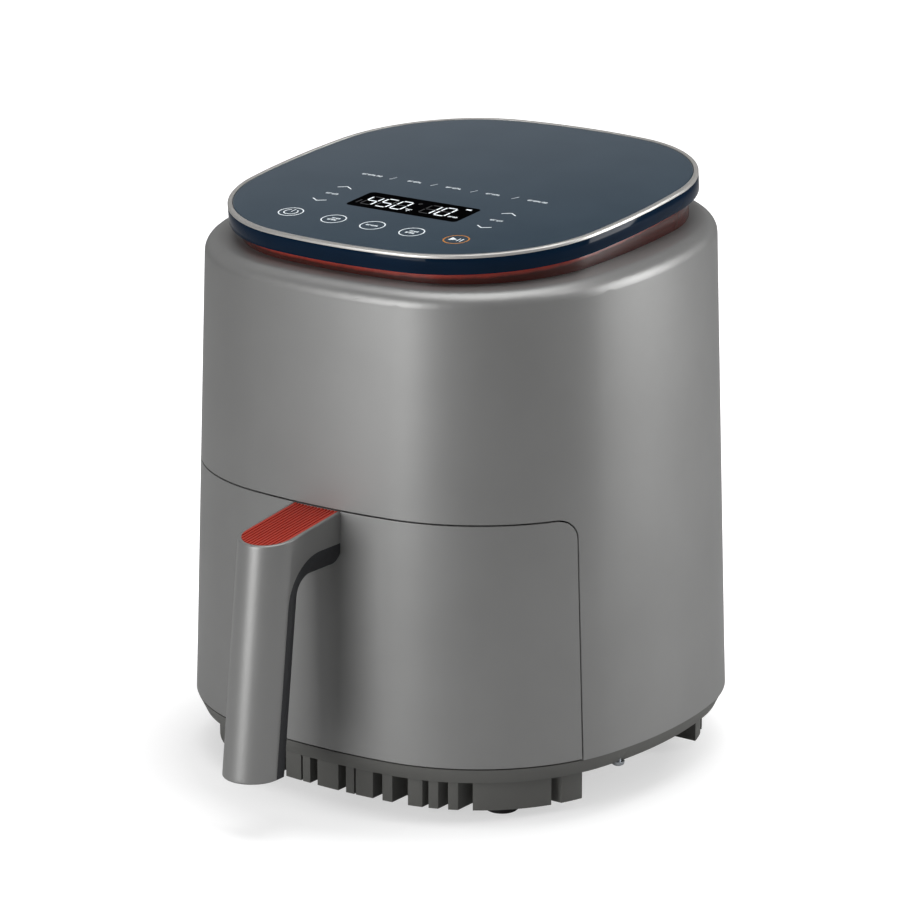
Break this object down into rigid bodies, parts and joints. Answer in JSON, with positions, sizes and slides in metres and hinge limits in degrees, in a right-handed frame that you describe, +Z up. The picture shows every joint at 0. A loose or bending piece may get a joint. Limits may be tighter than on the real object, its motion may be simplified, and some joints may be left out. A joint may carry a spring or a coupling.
{
  "type": "basket air fryer",
  "caption": "Rounded-square countertop air fryer with a tilted glass touch lid, a pull-out drawer basket with a bar handle, and a crisper plate.",
  "frame": {"origin": "on the floor under the middle of the whole object's box, handle included", "axes": "+Z up, the handle and drawer point along -Y, +X to the right seen from the front"},
  "size_m": [0.2554, 0.3137, 0.3002],
  "materials": {
    "body_grey": "satin moulded ABS with a fine texture",
    "base_grey": "matt moulded polypropylene",
    "dark_plastic": "matt black heat-resistant nylon",
    "liner_charcoal": "soft matt charcoal",
    "band_navy": "high-gloss navy ABS",
    "accent_red": "translucent red acrylic",
    "insert_red": "ribbed red moulding",
    "rim_silver": "satin silver trim",
    "lid_glass": "back-printed slate-blue glass",
    "chamber_steel": "aluminised sheet steel",
    "motor_steel": "drawn steel can",
    "spring_steel": "bright steel",
    "screw_steel": "zinc-plated steel",
    "element_steel": "dull stainless tube",
    "guard_chrome": "chromed wire",
    "reflector_aluminium": "bright rolled aluminium",
    "fan_aluminium": "stamped aluminium",
    "bearing_brass": "sintered bronze",
    "insulator_ceramic": "white steatite",
    "basket_coating": "black non-stick coating on aluminium",
    "foot_rubber": "black rubber",
    "plate_silicone": "black silicone",
    "board_green": "green solder mask",
    "white_plastic": "white nylon"
  },
  "bodies": {
    "housing": {"outer_shell": "body_grey", "base_pan": "base_grey", "rubber_feet": "foot_rubber", "base_screws": "screw_steel", "chamber_floor": "chamber_steel", "cooking_chamber": "chamber_steel", "opening_trim": "dark_plastic", "drawer_runners": "dark_plastic", "catch_springs": "spring_steel", "heat_reflector": "reflector_aluminium", "heating_element": "element_steel", "element_insulators": "insulator_ceramic", "element_clips": "spring_steel", "heater_guard": "guard_chrome", "guard_posts": "guard_chrome", "motor": "motor_steel", "bearings": "bearing_brass", "motor_bracket": "chamber_steel", "motor_screws": "screw_steel", "air_duct": "dark_plastic", "rear_vent": "base_grey", "cord_gland": "foot_rubber", "gland_nut": "dark_plastic", "power_board": "board_green", "board_standoffs": "bearing_brass", "power_parts": "dark_plastic", "terminal_block": "white_plastic", "thermal_fuse": "white_plastic", "temperature_sensor": "spring_steel", "drawer_switch": "white_plastic", "control_housing": "band_navy", "rim_trim": "rim_silver", "glass_panel": "lid_glass", "accent_ring": "accent_red", "control_screws": "screw_steel", "control_board": "board_green", "display_module": "dark_plastic", "touch_springs": "spring_steel", "buzzer": "dark_plastic"},
    "drawer": {"drawer_front": "body_grey", "drawer_inner_panel": "dark_plastic", "basket": "basket_coating", "basket_bracket": "spring_steel", "basket_rivets": "spring_steel", "handle_shell": "body_grey", "handle_insert": "insert_red", "handle_liner": "liner_charcoal", "handle_screws": "screw_steel"},
    "plate": {"crisper_plate": "basket_coating", "plate_feet": "plate_silicone"},
    "rotor": {"motor_shaft": "spring_steel", "convection_fan": "fan_aluminium", "cooling_fan": "dark_plastic", "fan_nut": "spring_steel"},
    "plunger": {"switch_plunger": "accent_red"}
  },
  "joints": [
    {"name": "drawer_slide", "type": "slide", "parent": "housing", "child": "drawer", "axis": [0, -1, 0], "range_m": [0, 0.24]},
    {"name": "plate_lift", "type": "slide", "parent": "drawer", "child": "plate", "axis": [0, 0, 1], "range_m": [0, 0.085]},
    {"name": "fan_spin", "type": "hinge", "parent": "housing", "child": "rotor", "pos_m": [0, 0.02474, 0.184], "axis": [0, 0, 1], "continuous": true},
    {"name": "plunger_travel", "type": "slide", "parent": "housing", "child": "plunger", "axis": [0, -1, 0], "range_m": [0, 0.0015]}
  ],
  "couplings": [
    {"joint": "plunger_travel", "follows": "drawer_slide", "ratio": 0.00625}
  ]
}
